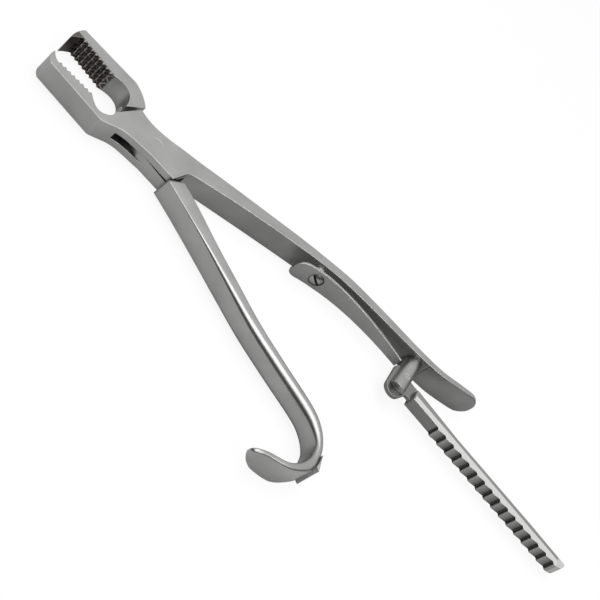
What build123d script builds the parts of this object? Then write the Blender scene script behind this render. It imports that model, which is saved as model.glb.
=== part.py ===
from build123d import *
import math
import os

# Box-lock bone holding forceps with a ratchet bar hinged on one handle.
# It lies flat: X runs from the jaws to the handle ends, Y across the handles, Z up.
# The origin is on the joint axis, at the back face of the box lock.

os.makedirs("parts", exist_ok=True)

# Box lock: two cheeks, with the tongue of the other half between them
box_thickness = 11.0
cheek_thickness = 3.5
cheek_clearance = 0.05
tongue_edge_clearance = 0.4
box_front_edge = -8.3

# Joint rivet, spread at both ends and ground flush
rivet_radius = 2.2
rivet_head_radius = 3.1
rivet_head_depth = 0.9
running_clearance = 0.05
seat_clearance = 0.01

# Travel of the jaws from the half-open pose, in degrees
close_angle = 13.5
open_angle = 2.0

# Jaws
tooth_pitch = 2.5
tooth_depth = 1.25
tooth_count = 8
left_crest = (-51.9, -11.2)
left_tooth_slope = 4.9
right_crest = (-53.7, 10.9)
right_tooth_slope = -5.2

# Handles
handle_depth = 12.2
spoon_depth = 14.8
spoon_tip = (116.2, -87.2)
spoon_slope = 206.0
spoon_bluntness = 0.72
paddle_depth = 14.6
paddle_tip = (200.0, 52.0)
paddle_slope = 20.0

# Catch lug, brazed on the outside of the hook's bend
lug_depth = 14.0
lug_height = 3.1
lug_foot = (140.5, -59.5)
lug_heel = (140.2, -68.4)

# Hinge post on the right handle, slotted for the ratchet's knuckle
post_radius = 4.65
hinge = (159.1, 23.7)
post_lean = -4.0
post_end_radius = 8.7
slot_root_distance = 8.9

# Ratchet bar; its places are measured from the hinge pin, with the bar stowed
knuckle_thickness = 2.1
slot_clearance = 0.1
pin_radius = 1.5
flat_distance = 6.4
heel_radius = 4.9
heel_place = (-1.5, -8.6)
knuckle_top = 6.9
neck_low = -5.4
neck_high = 4.0
bar_thickness = 6.7
bar_start = 9.0
bar_end = 122.1
gullet_line = -5.5
bar_slope = -2.44
crest_height = 1.35
crest_from_gullet = 1.1
bar_back = 1.0
bar_back_mid = (39.8, -1.8)
bar_back_end = -5.4
first_gullet = 27.0
ratchet_pitch = 5.86
ratchet_teeth = 16

# Leaf spring, its seat on the handle and its screw
spring_thickness = 1.3
spring_root_width = 11.4
spring_tip_width = 5.0
spring_root = (83.9, 21.3)
spring_screw_place = (96.4, 27.6)
spring_rise = (113.0, 31.8)
spring_crown = (130.0, 33.1)
spring_tip = (153.4, 31.4)
screw_slope = 22.0
seat_radius = 4.6
screw_radius = 1.5
screw_head_radius = 3.3
screw_head_depth = 1.1
screw_length = 7.0
screw_slot_width = 0.9
screw_slot_depth = 0.7
screw_slot_turn = 100.0

slot_height = box_thickness - 2 * cheek_thickness
tongue_thickness = slot_height - 2 * cheek_clearance
lift = Pos(0, 0, box_thickness / 2)


def along(point, degrees, distance):
    """The point at a distance from another, in a direction in the plane."""
    angle = math.radians(degrees)
    return (point[0] + distance * math.cos(angle), point[1] + distance * math.sin(angle))


def slab(face, thickness):
    """A flat face made into a plate, centred on the forceps' middle plane."""
    return extrude(face, thickness / 2, both=True)


def closed(*lines):
    """A closed chain of lines made into a face."""
    return make_face([edge for line in lines for edge in line.edges()])


def tooth_line(start, slope, side):
    """Gullets and crests of one jaw, from the tip towards the joint; side is where the gap is."""
    points = []
    for index in range(tooth_count):
        crest = along(start, slope, index * tooth_pitch)
        foot = along(crest, slope, -tooth_pitch / 2)
        points.append(along(foot, slope - 90 * side, tooth_depth))
        points.append(crest)
    return points


def end_cutter(tip, slope, depth, bluntness, reach):
    """Cuts a handle end round, seen along its thin side; slope is where the tip points."""
    half = depth / 2
    length = half * bluntness
    direction = along((0, 0), slope, 1)
    across = along((0, 0), slope - 90, 1)
    centre = along(tip, slope + 180, length)
    plane = Plane(origin=(*centre, 0), x_dir=(*direction, 0), z_dir=(*across, 0))
    corner = Pos(depth / 2, 0) * Rectangle(depth, 3 * depth) - Ellipse(length, half)
    return extrude(plane * corner, reach, both=True)


# Box half: left jaw, box with its two cheeks, right handle and hinge post

cheek_jaw_low = (-21.8, -6.4)
cheek_jaw_high = (-15.3, 8.4)
cheek_handle_low = (15.7, box_front_edge + 0.2)
cheek_handle_high = (18.5, 1.4)


def box_half_plan():
    teeth = tooth_line(left_crest, left_tooth_slope, 1)
    tip = (-57.6, -8.8)
    heel = (-54.8, -16.6)
    root = (-23.5, -17.8)
    paddle_inner = along(paddle_tip, paddle_slope - 70, 2.0)
    paddle_outer = along(paddle_tip, paddle_slope + 80, 2.0)
    hook = Spline(teeth[0], (-55.2, -11.6), tip)
    end = Spline(tip, (-57.9, -11.2), (-57.1, -14.0), heel)
    side = Line(heel, root)
    flank = Spline(root, (-19.2, -15.0), (-14.4, -11.7), (-6.8, -9.6), (2.0, box_front_edge))
    front = Polyline((2.0, box_front_edge), cheek_handle_low, cheek_handle_high)
    crotch = Spline(cheek_handle_high, (20.3, 3.4), (24.0, 5.4), (30.0, 7.9))
    inner = Spline((30.0, 7.9), (40.2, 12.2), (65.5, 22.2), (83.1, 28.6), (101.4, 34.3), (117.2, 37.0),
                   (139.5, 38.8), (161.5, 40.0), (175.5, 42.0), (185.5, 44.9), paddle_inner)
    cap = Line(paddle_inner, paddle_outer)
    outer = Spline(paddle_outer, (185.0, 48.9), (175.5, 45.8), (165.0, 44.2), (151.0, 43.7), (137.2, 43.6),
                   (123.6, 42.9), (109.6, 41.4), (94.2, 37.7), (78.6, 33.2), (62.3, 27.9), (40.2, 20.9),
                   (8.1, 10.9))
    neck = Spline((8.1, 10.9), (-1.0, 8.0), (-8.0, 7.2), cheek_jaw_high)
    edge = Line(cheek_jaw_high, cheek_jaw_low)
    recess = Spline(cheek_jaw_low, (-22.9, -11.5), (-27.2, -14.2), (-31.6, -12.4), teeth[-1])
    row = Polyline(*reversed(teeth))
    return closed(hook, end, side, flank, front, crotch, inner, cap, outer, neck, edge, recess, row)


def box_half_side():
    """How deep the box half is along its length, as a face in X and Z."""
    half = box_thickness / 2
    deep = handle_depth / 2
    paddle = paddle_depth / 2
    top = [(-70, half), (20, half), (90, deep), (140, deep), (176, paddle), (205, paddle)]
    low = [(x, -z) for x, z in reversed(top)]
    upper = Polyline(*[(x, 0, z) for x, z in top[:2]])
    rise = Spline(*[(x, 0, z) for x, z in top[1:]])
    fall = Spline(*[(x, 0, z) for x, z in low[:-1]])
    lower = Polyline(*[(x, 0, z) for x, z in low[-2:]])
    right = Line((205, 0, paddle), (205, 0, -paddle))
    left = Line((-70, 0, -half), (-70, 0, half))
    return closed(upper, rise, right, fall, lower, left)


def tongue_plan(margin):
    """The tongue seen from above with the jaws half open, wider all round by a margin."""
    plan = Polygon((-22.5, 3.4), (-18.0, 0.0), (-8.0, -5.9), (-2.4, box_front_edge),
                   (14.6, box_front_edge + 0.2), (17.0, -9.6), (22.5, -5.5), (18.6, -2.4),
                   (9.5, 3.6), (-2.0, 5.2), (-8.5, 6.6), (-14.6, 10.6), (-18.6, 9.8), align=None)
    return offset(plan, margin, kind=Kind.INTERSECTION) if margin else plan


def tongue_slot():
    """The space that the tongue sweeps in the box, open along the box's front edge."""
    steps = 8
    first = -open_angle - 0.5
    spread = close_angle + open_angle + 1.0
    region = Polygon((-15.0, -20), (-16.0, -3), (17.5, -3), (24, -20), align=None)
    for step in range(steps + 1):
        region += Rot(0, 0, first + spread * step / steps) * tongue_plan(tongue_edge_clearance)
    return slab(region, slot_height)


def rivet_shape(clearance):
    """The joint rivet, or its hole when a clearance is given."""
    half = box_thickness / 2
    shank = Cylinder(rivet_radius + clearance, box_thickness)
    head = Cone(rivet_radius + clearance, rivet_head_radius + clearance, rivet_head_depth)
    top = Pos(0, 0, half - rivet_head_depth / 2) * head
    return shank + top + mirror(top, about=Plane.XY)


def post_frame(distance):
    """A plane across the hinge post, at a distance from the pin; its normal runs to the handle."""
    centre = along(hinge, 90 + post_lean, distance)
    direction = along((0, 0), 90 + post_lean, 1)
    return Plane(origin=(*centre, 0), x_dir=(0, 0, 1), z_dir=(*direction, 0))


def hinge_post(handle):
    """The round post, with its end turned about the pin so that the bar can swing past it."""
    reach = 4 * post_radius
    stem = extrude(post_frame(0) * Circle(post_radius), target=handle, until=Until.NEXT)
    stem += extrude(post_frame(-post_end_radius) * Circle(post_radius), post_end_radius) & (
        Pos(*hinge) * Cylinder(post_end_radius, reach))
    slot_width = knuckle_thickness + 2 * slot_clearance
    slot = extrude(post_frame(-reach) * Rectangle(slot_width, reach), reach + slot_root_distance)
    return stem - slot


def spring_frame():
    """The plane of the spring's bearing side at its screw; its normal runs into the handle."""
    centre = along(spring_screw_place, screw_slope + 90, spring_thickness)
    direction = along((0, 0), screw_slope + 90, 1)
    return Plane(origin=(*centre, 0), x_dir=(0, 0, 1), z_dir=(*direction, 0))


def box_half():
    body = slab(box_half_plan(), 2 * paddle_depth) & extrude(box_half_side(), 150, both=True)
    body -= end_cutter(paddle_tip, paddle_slope, paddle_depth, 1.0, 12)
    body += hinge_post(body)
    body += extrude(spring_frame().offset(-0.5) * Circle(seat_radius), target=body, until=Until.NEXT)
    body -= spring_blade()
    body -= Pos(*hinge) * Cylinder(pin_radius + seat_clearance, 4 * post_radius)
    body -= extrude(spring_frame().offset(-1) * Circle(screw_radius + seat_clearance), screw_length + 1)
    body -= tongue_slot()
    body -= rivet_shape(seat_clearance)
    return body


# Tongue half: right jaw, thin tongue through the box, left handle with its finger hook

jaw_shoulder_low = (-21.0, 1.7)
jaw_shoulder_high = (-14.8, 11.3)
handle_shoulder_low = (14.5, -11.2)
handle_shoulder_high = (20.4, -4.1)


def right_jaw_plan():
    teeth = tooth_line(right_crest, right_tooth_slope, -1)
    tip = (-58.8, 5.9)
    end = Spline(tip, (-59.0, 8.8), (-58.8, 12.0), (-58.2, 14.8), (-57.2, 17.0))
    back = Line((-57.2, 17.0), (-26.0, 18.8))
    shoulder = Spline((-26.0, 18.8), (-22.6, 17.6), jaw_shoulder_high)
    stop = Line(jaw_shoulder_high, jaw_shoulder_low)
    recess = Spline(jaw_shoulder_low, (-22.0, 6.4), (-25.2, 10.6), (-29.5, 11.6), (-33.4, 10.6), teeth[-1])
    row = Polyline(*reversed(teeth))
    hook = Spline(teeth[0], (-57.0, 9.2), tip)
    return closed(end, back, shoulder, stop, recess, row, hook)


def arm_plan():
    """The left handle from the box to the middle of the hook's bend."""
    outer = Spline(handle_shoulder_low, (28.0, -15.6), (46.8, -22.6), (65.2, -30.0), (83.7, -37.2),
                   (103.5, -42.8), (123.8, -48.0), (132.0, -52.4), (136.0, -57.2), (137.2, -63.0),
                   (136.4, -68.0))
    cut = Line((136.4, -68.0), (140.9, -70.0))
    inner = Spline((140.9, -70.0), (141.2, -65.0), (140.3, -58.4), (137.4, -51.4), (132.2, -45.2),
                   (123.8, -41.0), (103.5, -35.6), (83.7, -29.6), (65.2, -22.4), (46.8, -15.2),
                   (29.0, -7.0), (23.4, -4.4))
    corner = Spline((23.4, -4.4), (22.0, -3.6), handle_shoulder_high)
    stop = Line(handle_shoulder_high, handle_shoulder_low)
    return closed(outer, cut, inner, corner, stop)


def spoon_plan():
    """The finger hook's flat spoon, from the middle of the bend to the tip."""
    convex = Spline((140.9, -70.0), (137.4, -75.6), (132.4, -80.6), (127.6, -83.4), (121.8, -85.6),
                    (112.6, -90.6))
    concave = Spline((111.6, -88.2), (120.6, -83.3), (128.4, -79.6), (133.4, -74.6), (136.4, -68.0))
    tip = Line((112.6, -90.6), (111.6, -88.2))
    bend = Line((136.4, -68.0), (140.9, -70.0))
    return closed(convex, tip, concave, bend)


def arm_side():
    half = box_thickness / 2
    deep = handle_depth / 2
    upper = Line((-70, 0, half), (22, 0, half))
    rise = Spline((22, 0, half), (60, 0, half + 0.35), (115, 0, deep), (150, 0, deep))
    right = Line((150, 0, deep), (150, 0, -deep))
    fall = Spline((150, 0, -deep), (115, 0, -deep), (60, 0, -half - 0.35), (22, 0, -half))
    lower = Line((22, 0, -half), (-70, 0, -half))
    left = Line((-70, 0, -half), (-70, 0, half))
    return closed(upper, rise, right, fall, lower, left)


def spoon_side():
    narrow = handle_depth / 2
    wide = spoon_depth / 2
    upper = Spline((100, 0, wide), (124, 0, wide), (131, 0, wide - 0.4), (137, 0, narrow + 0.1),
                   (145, 0, narrow))
    right = Line((145, 0, narrow), (145, 0, -narrow))
    lower = Spline((145, 0, -narrow), (137, 0, -narrow - 0.1), (131, 0, 0.4 - wide), (124, 0, -wide),
                   (100, 0, -wide))
    left = Line((100, 0, -wide), (100, 0, wide))
    return closed(upper, right, lower, left)


def tongue_half():
    arm = slab(arm_plan(), 2 * handle_depth) & extrude(arm_side(), 150, both=True)
    spoon = slab(spoon_plan(), 2 * spoon_depth) & extrude(spoon_side(), 150, both=True)
    spoon -= end_cutter(spoon_tip, spoon_slope, spoon_depth, spoon_bluntness, 8)
    jaw = slab(right_jaw_plan(), box_thickness)
    tongue = slab(tongue_plan(0), tongue_thickness)
    body = arm + spoon + jaw + tongue
    body -= Cylinder(rivet_radius + running_clearance, box_thickness)
    return body


def catch_lug():
    """A ramp up to a square ledge that drops behind the ratchet's teeth."""
    ledge = along(lug_heel, -29, lug_height)
    inside = along(lug_heel, 151, lug_height)
    outline = Polygon(lug_foot, inside, lug_heel, ledge, align=None)
    return slab(outline - arm_plan() - spoon_plan(), lug_depth)


def ratchet_bar():
    slope = math.tan(math.radians(bar_slope))

    def gullet(x):
        return gullet_line + slope * x

    outline = Polygon((-flat_distance, heel_place[1]), (-flat_distance + 0.3, knuckle_top - 2.0),
                      (-flat_distance + 1.7, knuckle_top), (1.5, knuckle_top), (5.2, neck_high),
                      (bar_start + 1, neck_high - 0.4), (bar_start + 1, neck_low), (5.6, neck_low),
                      (3.2, heel_place[1] - 1.5), align=None)
    knuckle = slab(outline + Pos(*heel_place) * Circle(heel_radius), knuckle_thickness)
    points = [(bar_start, bar_back), bar_back_mid, (bar_end - 27, bar_back_end + 1.5),
              (bar_end - 0.4, bar_back_end), (bar_end, bar_back_end - 1.0),
              (bar_end - 1.6, gullet(bar_end) + 0.8), (bar_end - 4.2, gullet(bar_end) - 0.5)]
    for index in range(ratchet_teeth - 1, -1, -1):
        x = first_gullet + index * ratchet_pitch
        points.append((x + crest_from_gullet, gullet(x) - crest_height))
        points.append((x, gullet(x)))
    points.append((bar_start, gullet(bar_start)))
    bar = slab(Polygon(*points, align=None), bar_thickness)
    body = knuckle + bar
    body -= Cylinder(pin_radius + running_clearance, 4 * post_radius)
    return Pos(*hinge) * body


def ratchet_pin():
    length = 2 * math.sqrt(post_radius ** 2 - (pin_radius + seat_clearance) ** 2)
    return Pos(*hinge) * Cylinder(pin_radius, length)


def spring_blade():
    """The leaf spring before its screw hole is made."""
    t = spring_thickness
    start = along(spring_root, 118, t)
    tip_top = (spring_tip[0], spring_tip[1] + t)
    face = Spline(spring_root, spring_screw_place, spring_rise, spring_crown, spring_tip)
    back = Spline(tip_top, (spring_crown[0], spring_crown[1] + t), along(spring_rise, 98, t),
                  along(spring_screw_place, screw_slope + 90, t), start)
    blade = closed(face, Line(spring_tip, tip_top), back, Line(start, spring_root))
    half_root = spring_root_width / 2
    half_tip = spring_tip_width / 2
    x0 = spring_root[0] - 1.2
    x1 = spring_tip[0]
    width = Polygon((x0 + half_root, half_root), (x0 + 16, half_root), (x1, half_tip), (x1, -half_tip),
                    (x0 + 16, -half_root), (x0 + half_root, -half_root), align=None)
    width += Pos(x0 + half_root, 0) * Circle(half_root)
    plan = Plane.XZ * width
    return slab(blade, 2 * spring_root_width) & extrude(plan, 150, both=True)


def leaf_spring():
    """A blade that follows the handle from its screw and bears on the knuckle's flat."""
    hole = extrude(spring_frame() * Circle(screw_radius + 0.1), 3 * spring_thickness, both=True)
    cone = Cone(screw_head_radius + 0.15, screw_radius + 0.15, screw_head_depth)
    sink = spring_frame().offset(-spring_thickness) * (Pos(0, 0, screw_head_depth / 2) * cone)
    return spring_blade() - hole - sink


def spring_screw():
    shank = extrude(spring_frame().offset(-0.2) * Circle(screw_radius), screw_length - 0.4)
    frame = spring_frame().offset(-spring_thickness)
    cone = Cone(screw_head_radius, screw_radius, screw_head_depth)
    head = frame * (Pos(0, 0, screw_head_depth / 2) * cone)
    saw = Box(4 * screw_head_radius, screw_slot_width, 2 * screw_slot_depth)
    slot = frame * (Rot(0, 0, screw_slot_turn) * saw)
    return shank + head - slot


pieces = {
    "box_half": box_half,
    "tongue_half": tongue_half,
    "joint_rivet": lambda: rivet_shape(0),
    "catch_lug": catch_lug,
    "ratchet_bar": ratchet_bar,
    "ratchet_pin": ratchet_pin,
    "leaf_spring": leaf_spring,
    "spring_screw": spring_screw,
}

if __name__ == "__main__":
    for name, make in pieces.items():
        solid = lift * make()
        export_step(solid, f"parts/{name}.step")
        print(name, len(solid.solids()), round(solid.volume, 1))
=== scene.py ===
import math
import bmesh
import bpy
from mathutils import Matrix, Vector


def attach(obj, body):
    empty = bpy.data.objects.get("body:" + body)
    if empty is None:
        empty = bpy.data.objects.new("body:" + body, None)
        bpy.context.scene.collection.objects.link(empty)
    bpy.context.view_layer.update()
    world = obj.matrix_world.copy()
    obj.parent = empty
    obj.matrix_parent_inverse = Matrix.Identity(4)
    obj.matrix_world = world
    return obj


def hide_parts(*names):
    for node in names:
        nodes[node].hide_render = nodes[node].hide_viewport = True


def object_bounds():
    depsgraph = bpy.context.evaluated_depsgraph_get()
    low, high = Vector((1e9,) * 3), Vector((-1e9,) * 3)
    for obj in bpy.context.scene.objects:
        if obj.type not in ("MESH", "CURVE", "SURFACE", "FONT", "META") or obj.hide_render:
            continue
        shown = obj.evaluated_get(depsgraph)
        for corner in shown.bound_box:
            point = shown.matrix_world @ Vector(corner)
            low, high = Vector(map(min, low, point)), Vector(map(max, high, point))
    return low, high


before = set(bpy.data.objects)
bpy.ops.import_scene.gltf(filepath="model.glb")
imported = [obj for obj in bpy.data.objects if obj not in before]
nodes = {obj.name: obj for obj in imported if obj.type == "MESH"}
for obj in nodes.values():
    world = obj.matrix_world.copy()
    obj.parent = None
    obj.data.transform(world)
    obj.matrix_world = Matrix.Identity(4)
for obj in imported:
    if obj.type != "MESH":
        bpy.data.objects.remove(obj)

cad_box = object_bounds()


# Right handle, box and left jaw: one stainless forging, milled flat on the front and
# back and belt-ground along its length. The grinding lines run along the handle, and
# its edges are broken by hand, so they catch the light.
def ground_steel(name, pale, dark, turn, roughness, edge, wear_and_highlight=0.5, side=1.0):
    """Stainless steel, mottled between two greys and ground along one direction, in degrees.
    Its edges are rounded by edge, in metres, and the next argument sets how far they turn a
    paler grey, which is partly real rubbing and partly a painted highlight. The sides keep the
    share side of the tone that the broad front and back have."""
    line_size = (0.011, 0.0005, 0.0005)
    line_depth = 0.00002
    line_strength = 0.22
    speck_share = 0.2
    mottling = 70.0
    specks = 2200.0
    worn_and_highlit_grey = (0.75, 0.75, 0.74, 1)
    crevice_shade_brown = (0.05, 0.045, 0.04, 1)
    crevice_shade_reach = 0.0022
    blue_share = 0.99

    material = bpy.data.materials.new(name)
    material.use_nodes = True
    tree = material.node_tree
    tree.nodes.clear()
    make = tree.nodes.new
    link = tree.links.new
    output = make("ShaderNodeOutputMaterial")
    steel = make("ShaderNodeBsdfPrincipled")
    steel.inputs["Metallic"].default_value = 1.0
    link(steel.outputs["BSDF"], output.inputs["Surface"])

    place = make("ShaderNodeTexCoord")
    along = make("ShaderNodeMapping")
    along.vector_type = "TEXTURE"
    along.inputs["Rotation"].default_value = (0, 0, math.radians(turn))
    along.inputs["Scale"].default_value = line_size
    link(place.outputs["Object"], along.inputs["Vector"])
    lines = make("ShaderNodeTexNoise")
    lines.inputs["Scale"].default_value = 1.0
    lines.inputs["Detail"].default_value = 4.0
    lines.inputs["Roughness"].default_value = 0.6
    link(along.outputs["Vector"], lines.inputs["Vector"])
    blotch = make("ShaderNodeTexNoise")
    blotch.inputs["Scale"].default_value = mottling
    blotch.inputs["Detail"].default_value = 3.0
    link(place.outputs["Object"], blotch.inputs["Vector"])
    speck = make("ShaderNodeTexNoise")
    speck.inputs["Scale"].default_value = specks
    speck.inputs["Detail"].default_value = 2.0
    link(place.outputs["Object"], speck.inputs["Vector"])

    rounded = make("ShaderNodeBevel")
    rounded.samples = 6
    rounded.inputs["Radius"].default_value = edge
    shape = make("ShaderNodeNewGeometry")
    turned_away = make("ShaderNodeVectorMath")
    turned_away.operation = "DOT_PRODUCT"
    link(rounded.outputs["Normal"], turned_away.inputs[0])
    link(shape.outputs["Normal"], turned_away.inputs[1])
    at_edge = make("ShaderNodeMapRange")
    at_edge.inputs["From Min"].default_value = 0.995
    at_edge.inputs["From Max"].default_value = 0.90
    at_edge.inputs["To Max"].default_value = wear_and_highlight
    link(turned_away.outputs["Value"], at_edge.inputs["Value"])

    tone = make("ShaderNodeMix")
    tone.data_type = "RGBA"
    tone.inputs["A"].default_value = (dark, dark, dark * blue_share, 1)
    tone.inputs["B"].default_value = (pale, pale, pale * blue_share, 1)
    spread = make("ShaderNodeMapRange")
    spread.inputs["From Min"].default_value = 0.3
    spread.inputs["From Max"].default_value = 0.65
    link(blotch.outputs["Fac"], spread.inputs["Value"])
    link(spread.outputs["Result"], tone.inputs["Factor"])
    facing = make("ShaderNodeSeparateXYZ")
    link(shape.outputs["Normal"], facing.inputs["Vector"])
    flatness = make("ShaderNodeMath")
    flatness.operation = "ABSOLUTE"
    link(facing.outputs["Z"], flatness.inputs[0])
    side_share = make("ShaderNodeMapRange")
    side_share.inputs["From Min"].default_value = 0.2
    side_share.inputs["From Max"].default_value = 0.8
    side_share.inputs["To Min"].default_value = side
    link(flatness.outputs["Value"], side_share.inputs["Value"])
    sided = make("ShaderNodeVectorMath")
    sided.operation = "SCALE"
    link(tone.outputs["Result"], sided.inputs[0])
    link(side_share.outputs["Result"], sided.inputs["Scale"])
    # The edges turn a paler grey: partly real rubbing, partly a painted highlight along them.
    worn_and_highlit = make("ShaderNodeMix")
    worn_and_highlit.name = "worn_and_highlit_edges"
    worn_and_highlit.data_type = "RGBA"
    worn_and_highlit.inputs["B"].default_value = worn_and_highlit_grey
    link(at_edge.outputs["Result"], worn_and_highlit.inputs["Factor"])
    link(sided.outputs["Vector"], worn_and_highlit.inputs["A"])
    # Painted shade: the colour darkens to a dark brown in crevices and corners, as far as the
    # occlusion reaches.
    crevice = make("ShaderNodeAmbientOcclusion")
    crevice.samples = 8
    crevice.only_local = True
    crevice.inputs["Distance"].default_value = crevice_shade_reach
    open_to_air = make("ShaderNodeMapRange")
    open_to_air.inputs["From Min"].default_value = 0.25
    open_to_air.inputs["From Max"].default_value = 0.85
    link(crevice.outputs["AO"], open_to_air.inputs["Value"])
    crevice_shade = make("ShaderNodeMix")
    crevice_shade.data_type = "RGBA"
    crevice_shade.inputs["A"].default_value = crevice_shade_brown
    link(open_to_air.outputs["Result"], crevice_shade.inputs["Factor"])
    link(worn_and_highlit.outputs["Result"], crevice_shade.inputs["B"])
    link(crevice_shade.outputs["Result"], steel.inputs["Base Color"])

    gloss = make("ShaderNodeMapRange")
    gloss.inputs["From Min"].default_value = 0.25
    gloss.inputs["From Max"].default_value = 0.75
    gloss.inputs["To Min"].default_value = roughness - 0.05
    gloss.inputs["To Max"].default_value = roughness + 0.07
    link(lines.outputs["Fac"], gloss.inputs["Value"])
    link(gloss.outputs["Result"], steel.inputs["Roughness"])

    relief = make("ShaderNodeMix")
    relief.data_type = "FLOAT"
    relief.inputs["Factor"].default_value = speck_share
    link(lines.outputs["Fac"], relief.inputs["A"])
    link(speck.outputs["Fac"], relief.inputs["B"])
    raised = make("ShaderNodeBump")
    raised.inputs["Strength"].default_value = line_strength
    raised.inputs["Distance"].default_value = line_depth
    link(relief.outputs["Result"], raised.inputs["Height"])
    link(rounded.outputs["Normal"], raised.inputs["Normal"])
    link(raised.outputs["Normal"], steel.inputs["Normal"])
    return material


def measured(steel, way):
    """How far a point of the piece lies along a direction, in metres."""
    place = steel.node_tree.nodes.new("ShaderNodeTexCoord")
    dot = steel.node_tree.nodes.new("ShaderNodeVectorMath")
    dot.operation = "DOT_PRODUCT"
    dot.inputs[1].default_value = way
    steel.node_tree.links.new(place.outputs["Object"], dot.inputs[0])
    return dot.outputs["Value"]


def fade(steel, value, start, end):
    """Rises from 0 at the start to 1 at the end."""
    rise = steel.node_tree.nodes.new("ShaderNodeMapRange")
    rise.inputs["From Min"].default_value = start
    rise.inputs["From Max"].default_value = end
    steel.node_tree.links.new(value, rise.inputs["Value"])
    return rise.outputs["Result"]


def counted(steel, operation, first, second):
    """One step of arithmetic on a socket; the second value may be a plain number."""
    node = steel.node_tree.nodes.new("ShaderNodeMath")
    node.operation = operation
    steel.node_tree.links.new(first, node.inputs[0])
    if isinstance(second, float):
        node.inputs[1].default_value = second
    else:
        steel.node_tree.links.new(second, node.inputs[1])
    return node.outputs["Value"]


def faces_front(steel):
    """1 on the broad front and back, 0 on the sides."""
    shape = steel.node_tree.nodes.new("ShaderNodeNewGeometry")
    parts = steel.node_tree.nodes.new("ShaderNodeSeparateXYZ")
    steel.node_tree.links.new(shape.outputs["Normal"], parts.inputs["Vector"])
    return fade(steel, counted(steel, "MULTIPLY", parts.outputs["Z"], parts.outputs["Z"]), 0.2, 0.6)


def lay_over(steel, amount, colour):
    """Lays a plain colour, or a socket's, over the steel where the amount is 1. The paler edges,
    partly rubbed and partly a painted highlight, and the painted crevice shade stay on top of it."""
    tree = steel.node_tree
    covered = tree.nodes["worn_and_highlit_edges"].inputs["A"]
    over = tree.nodes.new("ShaderNodeMix")
    over.data_type = "RGBA"
    tree.links.new(covered.links[0].from_socket, over.inputs["A"])
    tree.links.new(amount, over.inputs["Factor"])
    if isinstance(colour, tuple):
        over.inputs["B"].default_value = colour
    else:
        tree.links.new(colour, over.inputs["B"])
    tree.links.new(over.outputs["Result"], covered)


def placed(name, data):
    """A new object in the scene, at the origin."""
    made = bpy.data.objects.new(name, data)
    bpy.context.scene.collection.objects.link(made)
    return made


def part_before(node, name, first, second, material):
    """A copy of a CAD node up to a line across it, seen from above, closed at the cut."""
    same_point = 0.000001
    sharpest_smooth = math.radians(20)
    mesh = nodes[node].data.copy()
    across = Vector(second) - Vector(first)
    cut = bmesh.new()
    cut.from_mesh(mesh)
    bmesh.ops.remove_doubles(cut, verts=cut.verts, dist=same_point)
    bmesh.ops.bisect_plane(cut, geom=cut.verts[:] + cut.edges[:] + cut.faces[:],
                           plane_co=(*first, 0), plane_no=(across.y, -across.x, 0), clear_outer=True)
    bmesh.ops.holes_fill(cut, edges=[edge for edge in cut.edges if edge.is_boundary], sides=0)
    for edge in cut.edges:
        edge.smooth = edge.calc_face_angle(0) < sharpest_smooth
    for face in cut.faces:
        face.smooth = True
    cut.to_mesh(mesh)
    cut.free()
    if mesh.attributes.get("custom_normal"):
        mesh.attributes.remove(mesh.attributes["custom_normal"])
    mesh.materials.clear()
    mesh.materials.append(material)
    return placed(name, mesh)


def cross_section(outer_x, outer_y, inner_x, inner_y, low, high, rounding):
    """The points around one rounded section of a handle, in metres. The section is given in
    millimetres: its two sides seen from above, then its depth about the middle plane."""
    middle_plane = 5.5
    corner_steps = 8
    largest_share = 0.46
    outer = Vector((outer_x, outer_y, 0))
    inner = Vector((inner_x, inner_y, 0))
    width = (inner - outer).length
    sideways = (inner - outer) / width
    radius = min(rounding, largest_share * width, largest_share * (high - low))
    points = []
    for corner_side, corner_up, start in ((1, 1, 0), (-1, 1, 90), (-1, -1, 180), (1, -1, 270)):
        centre_side = width / 2 + corner_side * (width / 2 - radius)
        centre_up = (low + high) / 2 + corner_up * ((high - low) / 2 - radius)
        for step in range(corner_steps + 1):
            angle = math.radians(start + step * 90 / corner_steps)
            flat = outer + sideways * (centre_side + radius * math.cos(angle))
            height = centre_up + radius * math.sin(angle) + middle_plane
            points.append((flat.x / 1000, flat.y / 1000, height / 1000))
    return points


def between(stations, steps):
    """Sections that run smoothly through the given ones."""
    padded = [stations[0]] + stations + [stations[-1]]
    for index in range(1, len(padded) - 2):
        for step in range(steps):
            t = step / steps
            yield [0.5 * (2 * b + (c - a) * t + (2 * a - 5 * b + 4 * c - d) * t ** 2
                          + (3 * b - a - 3 * c + d) * t ** 3)
                   for a, b, c, d in zip(*padded[index - 1:index + 3])]
    yield stations[-1]


def rounded_bar(name, stations, material):
    """A smooth bar through rounded sections, closed at both ends."""
    steps_between = 8
    rings = [cross_section(*values) for values in between(stations, steps_between)]
    around = len(rings[0])
    corners = [point for ring in rings for point in ring]
    faces = [tuple(reversed(range(around)))]
    for ring in range(len(rings) - 1):
        for step in range(around):
            first = ring * around + step
            second = ring * around + (step + 1) % around
            faces.append((first, second, second + around, first + around))
    faces.append(tuple(range(len(corners) - around, len(corners))))
    mesh = bpy.data.meshes.new(name)
    mesh.from_pydata(corners, [], faces)
    last = len(faces) - 1
    mesh.polygons.foreach_set("use_smooth", [0 < index < last for index in range(len(faces))])
    mesh.materials.append(material)
    return placed(name, mesh)


box_steel = ground_steel("box_half_satin", pale=0.42, dark=0.36, turn=-17, roughness=0.33,
                         edge=0.0005)
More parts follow.
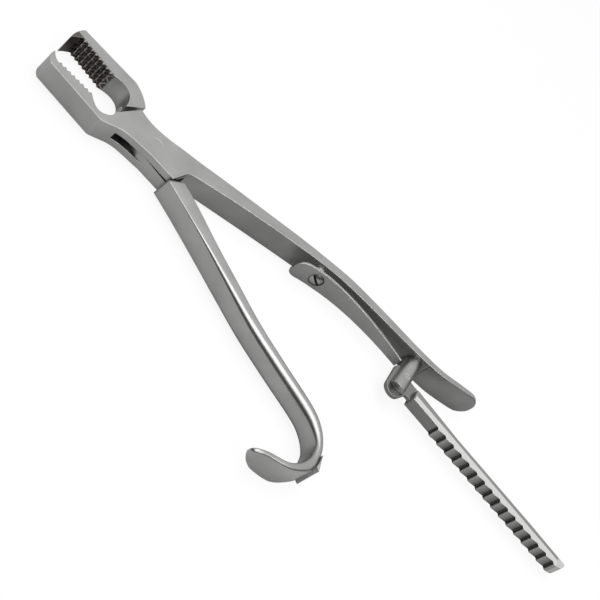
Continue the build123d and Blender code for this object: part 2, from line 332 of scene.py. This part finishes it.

# Behind the spring the sides are painted a flat grey and mirror less, a painted reflection in place
# of the narrow gap they would mirror.
flat_reflection_grey = (0.20, 0.20, 0.197, 1)
mirror_lost = 0.8
spring_start = (0.074, 0.082)
spring_end = (0.158, 0.150)
lengthwise = measured(box_steel, (1, 0, 0))
behind_spring = counted(box_steel, "MULTIPLY", fade(box_steel, lengthwise, *spring_start),
                        fade(box_steel, lengthwise, *spring_end))
behind_spring = counted(box_steel, "SUBTRACT", behind_spring, faces_front(box_steel))
behind_spring = counted(box_steel, "MAXIMUM", behind_spring, 0.0)
lay_over(box_steel, behind_spring, flat_reflection_grey)
mirrored = counted(box_steel, "MULTIPLY", behind_spring, -mirror_lost)
mirrored = counted(box_steel, "ADD", mirrored, 1.0)
box_shader = next(node for node in box_steel.node_tree.nodes if node.type == "BSDF_PRINCIPLED")
box_steel.node_tree.links.new(mirrored, box_shader.inputs["Metallic"])
past_post = ((0.1660, 0.0405), (0.1653, 0.04425))
box = part_before("box_half", "left_jaw_and_box", *past_post, box_steel)
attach(box, "box_body")

# The end of the right handle thins to a rounded paddle. Each section gives its inner and
# outer side, how low and high it reaches, and how much its corners are rounded.
paddle_sections = [
    (166.0, 40.5, 165.3, 44.25, -7.0, 7.0, 0.3),
    (175.9, 42.3, 175.1, 45.75, -7.27, 7.27, 0.4),
    (186.0, 45.7, 184.8, 48.85, -7.45, 7.45, 0.5),
    (193.9, 48.8, 192.7, 51.4, -7.4, 7.4, 0.6),
    (196.1, 49.7, 195.2, 52.15, -6.86, 6.86, 0.7),
    (197.9, 50.45, 197.1, 52.75, -5.75, 5.75, 0.8),
    (199.3, 51.1, 198.6, 53.1, -4.16, 4.16, 0.8),
    (200.05, 51.6, 199.5, 53.15, -2.38, 2.38, 0.7),
    (200.27, 52.0, 199.9, 52.95, -0.85, 0.85, 0.4),
]
paddle_steel = ground_steel("right_handle_end_satin", pale=0.40, dark=0.34, turn=20,
                            roughness=0.33, edge=0.0002)
paddle = rounded_bar("right_handle_end", paddle_sections, paddle_steel)
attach(paddle, "box_body")
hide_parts("box_half")


# Left handle, tongue and right jaw: the second forging, finished like the first. Square
# at the box, the handle is ground rounder and rounder towards the finger hook, whose
# end is hammered into a spoon. The jaw's piece and the handle's meet at the shoulder.
jaw_steel = ground_steel("right_jaw_satin", pale=0.42, dark=0.36, turn=-5, roughness=0.33,
                         edge=0.0003, wear_and_highlight=0.6)

# The inner face of the jaw is brown where it is toothed.
tip_brown = (0.13, 0.12, 0.11, 1)
off_jaw_line = (0.0906, 1, 0)
inner_face = (0.0076, 0.0072)
teeth_start = (-0.0335, -0.0345)
lengthwise = measured(jaw_steel, (1, 0, 0))
toothed = counted(jaw_steel, "MULTIPLY",
                  fade(jaw_steel, measured(jaw_steel, off_jaw_line), *inner_face),
                  fade(jaw_steel, lengthwise, *teeth_start))
lay_over(jaw_steel, toothed, tip_brown)

# The teeth of the jaw are cut across both ways, so their crests zigzag up the jaw. Their light and
# shade are painted: painted shade, near black, in the gullets and a pale painted highlight on the
# crests.
zigzag_height = 0.00275
teeth_per_metre = 400.0
first_tooth = 0.0657
along_jaw = (0.9959, -0.0906, 0)
teeth_end = (-0.0560, -0.0556)
zigzag = counted(jaw_steel, "PINGPONG", measured(jaw_steel, (0, 0, 1)), zigzag_height)
row = counted(jaw_steel, "ADD", measured(jaw_steel, along_jaw), zigzag)
row = counted(jaw_steel, "MULTIPLY", counted(jaw_steel, "ADD", row, first_tooth), teeth_per_metre)
crest = counted(jaw_steel, "PINGPONG", row, 0.5)
jaw_tooth_shading = jaw_steel.node_tree.nodes.new("ShaderNodeValToRGB")
gullet_shade, crest_highlight = jaw_tooth_shading.color_ramp.elements
gullet_shade.color = (0.05, 0.042, 0.035, 1)
crest_highlight.position = 0.5
crest_highlight.color = (0.50, 0.47, 0.44, 1)
flank = jaw_tooth_shading.color_ramp.elements.new(0.33)
flank.color = (0.13, 0.115, 0.10, 1)
jaw_steel.node_tree.links.new(crest, jaw_tooth_shading.inputs["Fac"])
toothed = counted(jaw_steel, "MULTIPLY", toothed, fade(jaw_steel, lengthwise, *teeth_end))
lay_over(jaw_steel, toothed, jaw_tooth_shading.outputs["Color"])

# The gap over the tongue, painted near black as shade in a wedge that opens towards the handle.
gap_shade_black = (0.015, 0.014, 0.013, 1)
gap_opens = (0.072, 0, 1)
gap_floor = (0.00736, 0.00742)
gap_start = (-0.0045, -0.004)
painted_gap_shade = counted(jaw_steel, "MULTIPLY",
                   fade(jaw_steel, measured(jaw_steel, gap_opens), *gap_floor),
                   fade(jaw_steel, lengthwise, *gap_start))
lay_over(jaw_steel, painted_gap_shade, gap_shade_black)
at_shoulder = ((0.0145, -0.0112), (0.0204, -0.0041))
jaw = part_before("tongue_half", "right_jaw_and_tongue", *at_shoulder, jaw_steel)
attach(jaw, "tongue_body")

# The left handle from its shoulder, round the bend of the hook, to the tip of the spoon.
handle_sections = [
    (14.5, -11.2, 20.4, -4.1, -5.5, 5.5, 0.3),
    (28.0, -15.7, 30.6, -7.7, -5.55, 5.55, 0.4),
    (46.8, -22.8, 49.6, -16.1, -5.75, 5.75, 1.1),
    (65.2, -30.3, 67.9, -23.2, -5.9, 5.9, 2.0),
    (83.6, -37.5, 86.0, -30.1, -6.0, 6.0, 2.8),
    (103.4, -43.1, 105.2, -35.6, -6.1, 6.1, 3.2),
    (123.6, -48.3, 126.1, -41.2, -6.1, 6.1, 3.4),
    (131.4, -52.2, 135.0, -47.0, -6.1, 6.1, 3.0),
    (135.8, -57.0, 140.2, -56.0, -6.1, 6.1, 2.3),
    (137.0, -63.0, 141.6, -64.7, -6.1, 6.1, 2.1),
    (136.2, -68.0, 140.9, -70.2, -6.3, 6.3, 1.9),
    (133.2, -74.5, 137.3, -75.8, -6.8, 6.8, 1.5),
    (128.4, -79.5, 131.3, -81.5, -7.3, 7.3, 1.1),
    (120.8, -83.0, 122.0, -85.4, -6.0, 7.4, 0.9),
    (116.6, -85.4, 117.6, -87.6, -3.0, 7.3, 0.9),
    (113.9, -87.2, 114.8, -89.0, 0.4, 6.6, 0.8),
    (112.9, -88.0, 113.5, -89.0, 2.6, 5.2, 0.5),
]
handle_steel = ground_steel("left_handle_satin", pale=0.42, dark=0.36, turn=20, roughness=0.31,
                            edge=0.0002, wear_and_highlight=0.2)
handle = rounded_bar("left_handle_and_hook", handle_sections, handle_steel)
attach(handle, "tongue_body")
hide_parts("tongue_half")


# Joint rivet: stainless bar, spread into its countersinks and ground flush with the
# box. Only a faint ring and a slightly different grain give it away.
def dress(node, material):
    """Gives a CAD node its finish, through its material slots."""
    for slot in nodes[node].material_slots:
        slot.material = material


rivet_steel = ground_steel("joint_rivet_ground", pale=0.41, dark=0.37, turn=35, roughness=0.33,
                           edge=0.0001, wear_and_highlight=0.0)
dress("joint_rivet", rivet_steel)


# Catch lug: a small wedge of stainless brazed on the bend of the hook. Its ledge is
# filed square and left duller than the handle.
lug_steel = ground_steel("catch_lug_filed", pale=0.46, dark=0.40, turn=60, roughness=0.40,
                         edge=0.0003)
dress("catch_lug", lug_steel)


# Ratchet bar: milled from flat stainless stock, its teeth sawn, then polished on its
# broad faces. Its edges are left sharper than those of the handles, and its thin
# knuckle turns on a pin in the slot of the right handle's post.
bar_steel = ground_steel("ratchet_bar_polished", pale=0.66, dark=0.58, turn=3, roughness=0.27,
                         edge=0.0003, wear_and_highlight=0.6, side=0.5)
hinge_x = 0.1591
back_line = 0.03065
off_back = (0.0437, 1, 0)
bar_along = counted(bar_steel, "ADD", measured(bar_steel, (1, 0, 0)), -hinge_x)
bar_across = counted(bar_steel, "ADD", measured(bar_steel, off_back), -back_line)

# The front carries a painted bright reflection next to the teeth and a painted darker reflection
# along the back, where a bevel runs; the knuckle is painted dark as shade.
sheen_grey = (0.82, 0.82, 0.81, 1)
knuckle_shade_grey = (0.26, 0.26, 0.255, 1)
back_shade_grey = (0.33, 0.33, 0.325, 1)
sheen_start = (0.0095, 0.0100)
knuckle_end = (0.0098, 0.0094)
strip_edge = (-0.00215, -0.0020)
front = faces_front(bar_steel)
front_sheen = counted(bar_steel, "MULTIPLY", front, fade(bar_steel, bar_along, *sheen_start))
lay_over(bar_steel, front_sheen, sheen_grey)
lay_over(bar_steel, fade(bar_steel, bar_along, *knuckle_end), knuckle_shade_grey)
back_bevel_shade = counted(bar_steel, "MULTIPLY", front_sheen, fade(bar_steel, bar_across, *strip_edge))
lay_over(bar_steel, back_bevel_shade, back_shade_grey)

# The sawn teeth, from one gullet to the next: painted shade, black in the gullet, rising to a
# painted highlight, palest on the crest.
first_gullet = 0.027
ratchet_pitch = 0.00586
sawn_start = (0.0262, 0.0266)
tooth_depth = (-0.0045, -0.0050)
tooth = counted(bar_steel, "MULTIPLY", counted(bar_steel, "ADD", bar_along, -first_gullet),
                1 / ratchet_pitch)
tooth = counted(bar_steel, "FRACT", tooth, 0.0)
gullet_shade_black = (0.02, 0.02, 0.02, 1)
tooth_shading_greys = ((0.09, 0.05), (0.14, 0.20), (0.19, 0.62), (0.24, 0.50), (0.55, 0.36), (0.86, 0.20),
               (0.95, 0.03))
blue_share = 0.98
bar_tooth_shading = bar_steel.node_tree.nodes.new("ShaderNodeValToRGB")
tones = bar_tooth_shading.color_ramp.elements
tones[0].color = gullet_shade_black
tones[1].color = gullet_shade_black
for position, grey in tooth_shading_greys:
    tones.new(position).color = (grey, grey, grey * blue_share, 1)
bar_steel.node_tree.links.new(tooth, bar_tooth_shading.inputs["Fac"])
sawn = counted(bar_steel, "SUBTRACT", fade(bar_steel, bar_along, *sawn_start), front)
sawn = counted(bar_steel, "MULTIPLY", counted(bar_steel, "MAXIMUM", sawn, 0.0),
               fade(bar_steel, bar_across, *tooth_depth))
lay_over(bar_steel, sawn, bar_tooth_shading.outputs["Color"])

# The tip of the bar is pale all round.
tip_grey = (0.72, 0.72, 0.70, 1)
tip_start = (0.1172, 0.1176)
lay_over(bar_steel, fade(bar_steel, bar_along, *tip_start), tip_grey)
dress("ratchet_bar", bar_steel)


# Ratchet pin: a turned stainless pin, pressed through the post and the bar's knuckle.
# Both ends are filed to the round of the post and polished, so they show as faint spots.
pin_steel = ground_steel("ratchet_pin_filed", pale=0.52, dark=0.45, turn=80, roughness=0.26,
                         edge=0.0001, wear_and_highlight=0.0)
dress("ratchet_pin", pin_steel)


# Leaf spring: a rolled blade of spring steel, ground along its length and set by hand.
# One screw holds it to the right handle, and its free end bears on the bar's knuckle.
spring_steel = ground_steel("leaf_spring_ground", pale=0.46, dark=0.40, turn=-12, roughness=0.32,
                            edge=0.0003, wear_and_highlight=0.8)

# Painted shade, a dark brown ring, darkens the countersink round the screw.
countersink_shade_brown = (0.04, 0.037, 0.033, 1)
countersink_rim = (0.0042, 0.0037)
screw_middle = Vector((0.0964, 0.0276, 0.0055))
place = spring_steel.node_tree.nodes.new("ShaderNodeTexCoord")
from_screw = spring_steel.node_tree.nodes.new("ShaderNodeVectorMath")
from_screw.operation = "DISTANCE"
from_screw.inputs[1].default_value = screw_middle
spring_steel.node_tree.links.new(place.outputs["Object"], from_screw.inputs[0])
ring = fade(spring_steel, from_screw.outputs["Value"], *countersink_rim)
lay_over(spring_steel, ring, countersink_shade_brown)
dress("leaf_spring", spring_steel)


# Spring screw: a turned stainless screw with a raised oval head. It sits in the
# spring's countersink and is driven into the right handle. The head is polished, and
# the sawn slot is painted near black as shade.
screw_head_radius = 0.0035
screw_crown = 0.0013
screw_seat = 0.0008
screw_slot = 0.00055
screw_slot_floor = -0.0004
slot_level = 0.827
slot_fall = 0.562
screw_out = Vector((0.3746, -0.9272, 0.0))
screw_slot_way = Vector((0.9272 * slot_level, 0.3746 * slot_level, -slot_fall))
screw_across = screw_out.cross(screw_slot_way).normalized()

# The crown is made of rows along the slot. They lie closer at the rim, and the slot's
# two walls each stand between two rows.
row_shares = [-1.0, -0.985, -0.94, -0.86, -0.74, -0.60, -0.45, -0.30, -0.17]
slot_wall = [-screw_slot * 1.02, -screw_slot * 0.98]
rows = [share * screw_head_radius for share in row_shares] + slot_wall
rows += [-row for row in reversed(rows)]
row_steps = 24
least_square = 1e-9
corners = []
faces = []
for row in rows:
    reach = math.sqrt(max(screw_head_radius ** 2 - row ** 2, least_square))
    for step in range(row_steps + 1):
        along = -reach * math.cos(math.radians(step * 180 / row_steps))
        rise = screw_crown * (1 - (row ** 2 + along ** 2) / screw_head_radius ** 2)
        if abs(row) < screw_slot:
            rise = screw_slot_floor
        corners.append(screw_middle + screw_out * rise + screw_across * row + screw_slot_way * along)
for row in range(len(rows) - 1):
    for step in range(row_steps):
        first = row * (row_steps + 1) + step
        second = first + row_steps + 1
        faces.append((first, first + 1, second + 1, second))
screw_mesh = bpy.data.meshes.new("spring_screw_head")
screw_mesh.from_pydata(corners, [], faces)

# The rim is drawn down to the seat and closed underneath.
closing = bmesh.new()
closing.from_mesh(screw_mesh)
rim = [edge for edge in closing.edges if edge.is_boundary]
sunk = bmesh.ops.extrude_edge_only(closing, edges=rim)["geom"]
sunk_points = [item for item in sunk if isinstance(item, bmesh.types.BMVert)]
sunk_edges = [item for item in sunk if isinstance(item, bmesh.types.BMEdge)]
bmesh.ops.translate(closing, verts=sunk_points, vec=screw_out * -screw_seat)
bmesh.ops.contextual_create(closing, geom=sunk_edges)
bmesh.ops.recalc_face_normals(closing, faces=closing.faces)
closing.to_mesh(screw_mesh)
closing.free()

screw_steel = ground_steel("spring_screw_polished", pale=0.60, dark=0.52, turn=45, roughness=0.22,
                           edge=0.0001, wear_and_highlight=0.6)
slot_shade_black = (0.02, 0.02, 0.018, 1)
slot_side = (0.00064, 0.00056)
# Painted shade: the slot is near black.
off_slot = counted(screw_steel, "ADD", measured(screw_steel, screw_across),
                   float(-screw_middle.dot(screw_across)))
off_slot = counted(screw_steel, "ABSOLUTE", off_slot, 0.0)
lay_over(screw_steel, fade(screw_steel, off_slot, *slot_side), slot_shade_black)
screw_mesh.materials.append(screw_steel)
screw = placed("spring_screw_head", screw_mesh)
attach(screw, "box_body")
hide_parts("spring_screw")


# Studio: a white table under a pale ceiling. The photograph's background is plain
# white, so the camera sees the table as paper white with only a trace of shadow, while
# the steel mirrors it as a soft grey with painted shade that darkens towards the right handle.
def paper_white():
    """The table's paper, which glows white for the camera alone."""
    paper_grey = (0.9, 0.9, 0.9, 1)
    glow_share = 0.9
    mirrored_front = 0.62
    mirrored_back = 0.40
    material = bpy.data.materials.new("paper_white")
    material.use_nodes = True
    tree = material.node_tree
    tree.nodes.clear()
    make = tree.nodes.new
    link = tree.links.new
    output = make("ShaderNodeOutputMaterial")
    mix = make("ShaderNodeMixShader")
    paper = make("ShaderNodeBsdfDiffuse")
    glow = make("ShaderNodeEmission")
    seen = make("ShaderNodeLightPath")
    share = make("ShaderNodeMath")
    share.operation = "MULTIPLY"
    share.inputs[1].default_value = glow_share
    link(seen.outputs["Is Camera Ray"], share.inputs[0])
    place = make("ShaderNodeTexCoord")
    across = make("ShaderNodeVectorMath")
    across.operation = "DOT_PRODUCT"
    across.inputs[1].default_value = (0.42, 0.91, 0.0)
    # Painted shade in what the steel mirrors: under glossy rays the paper greys from the front
    # towards the back and the right handle.
    fall = make("ShaderNodeMapRange")
    fall.interpolation_type = "SMOOTHSTEP"
    fall.inputs["From Min"].default_value = -0.012
    fall.inputs["From Max"].default_value = 0.030
    fall.inputs["To Min"].default_value = mirrored_front
    fall.inputs["To Max"].default_value = mirrored_back
    link(place.outputs["Object"], across.inputs[0])
    link(across.outputs["Value"], fall.inputs["Value"])
    reflected = make("ShaderNodeMix")
    reflected.data_type = "RGBA"
    reflected.inputs["A"].default_value = paper_grey
    link(seen.outputs["Is Glossy Ray"], reflected.inputs["Factor"])
    link(fall.outputs["Result"], reflected.inputs["B"])
    link(reflected.outputs["Result"], paper.inputs["Color"])
    link(share.outputs["Value"], mix.inputs["Fac"])
    link(paper.outputs["BSDF"], mix.inputs[1])
    link(glow.outputs["Emission"], mix.inputs[2])
    link(mix.outputs["Shader"], output.inputs["Surface"])
    return material


table_half = 3
table_gap = 0.0002
table_height = cad_box[0][2] - table_gap
table_mesh = bpy.data.meshes.new("table")
corners = [(-table_half, -table_half), (table_half, -table_half), (table_half, table_half),
           (-table_half, table_half)]
table_mesh.from_pydata([(x, y, table_height) for x, y in corners], [], [(0, 1, 2, 3)])
table = placed("table", table_mesh)
table_mesh.materials.append(paper_white())


# The room: pale overhead and behind the instrument, dark on the camera's side. The
# camera itself sees it white.
world = bpy.data.worlds.new("studio")
world.use_nodes = True
room = world.node_tree
room.nodes.clear()
sky = room.nodes.new("ShaderNodeOutputWorld")
backdrop = room.nodes.new("ShaderNodeBackground")
backdrop.inputs["Color"].default_value = (1, 1, 1, 1)
direction = room.nodes.new("ShaderNodeTexCoord")
to_backdrop = room.nodes.new("ShaderNodeVectorMath")
to_backdrop.operation = "DOT_PRODUCT"
to_backdrop.inputs[1].default_value = (0.0, 0.6, 0.8)
paleness = room.nodes.new("ShaderNodeMapRange")
paleness.interpolation_type = "SMOOTHSTEP"
paleness.inputs["From Min"].default_value = 0.15
paleness.inputs["From Max"].default_value = 0.78
paleness.inputs["To Min"].default_value = 0.064
paleness.inputs["To Max"].default_value = 0.8
seen = room.nodes.new("ShaderNodeLightPath")
white = room.nodes.new("ShaderNodeMix")
white.data_type = "FLOAT"
white.inputs["B"].default_value = 1.0
room.links.new(direction.outputs["Generated"], to_backdrop.inputs[0])
room.links.new(to_backdrop.outputs["Value"], paleness.inputs["Value"])
room.links.new(paleness.outputs["Result"], white.inputs["A"])
room.links.new(seen.outputs["Is Camera Ray"], white.inputs["Factor"])
room.links.new(white.outputs["Result"], backdrop.inputs["Strength"])
room.links.new(backdrop.outputs["Background"], sky.inputs["Surface"])
bpy.context.scene.world = world


# The camera stands where the photograph was taken: on the side of the finger hook,
# 37 degrees above the table, a little over half a metre away.
right = Vector((0.6617, 0.3603, 0.6575)).normalized()
back = Vector((-0.1700, -0.7830, 0.5986)).normalized()
up = back.cross(right).normalized()
right = up.cross(back).normalized()
joint_middle = Vector((-0.0005, -0.0052, 0.0055))
to_the_right = 0.068311
downwards = 0.063458
away = 0.56764
eye = joint_middle + right * to_the_right - up * downwards + back * away
camera = placed("camera", bpy.data.cameras.new("camera"))
turn = Matrix((right, up, back)).transposed().to_4x4()
camera.matrix_world = Matrix.Translation(eye) @ turn
camera.data.sensor_fit = "HORIZONTAL"
camera.data.sensor_width = 36.0
camera.data.lens = 78.0
camera.data.clip_start = 0.01
bpy.context.scene.camera = camera


def lamp(name, place, width, depth, power):
    """A soft lamp that points at the middle of the forceps."""
    forceps_middle = Vector((0.08, -0.01, 0.0))
    data = bpy.data.lights.new(name, "AREA")
    data.shape = "RECTANGLE"
    data.size = width
    data.size_y = depth
    data.energy = power
    holder = placed(name, data)
    holder.location = place
    aim = forceps_middle - Vector(place)
    holder.rotation_euler = aim.to_track_quat("-Z", "Y").to_euler()


# A wide lamp overhead lights the table and draws the bright band down the left handle.
# A narrow one in front draws thin bright lines along the edges.
lamp("overhead_lamp", place=(0.0, 0.05, 0.90), width=1.0, depth=0.85, power=5.8)
lamp("edge_lamp", place=(0.50, -0.46, 0.66), width=0.5, depth=0.2, power=2.0)

bpy.context.scene.view_settings.view_transform = "Standard"
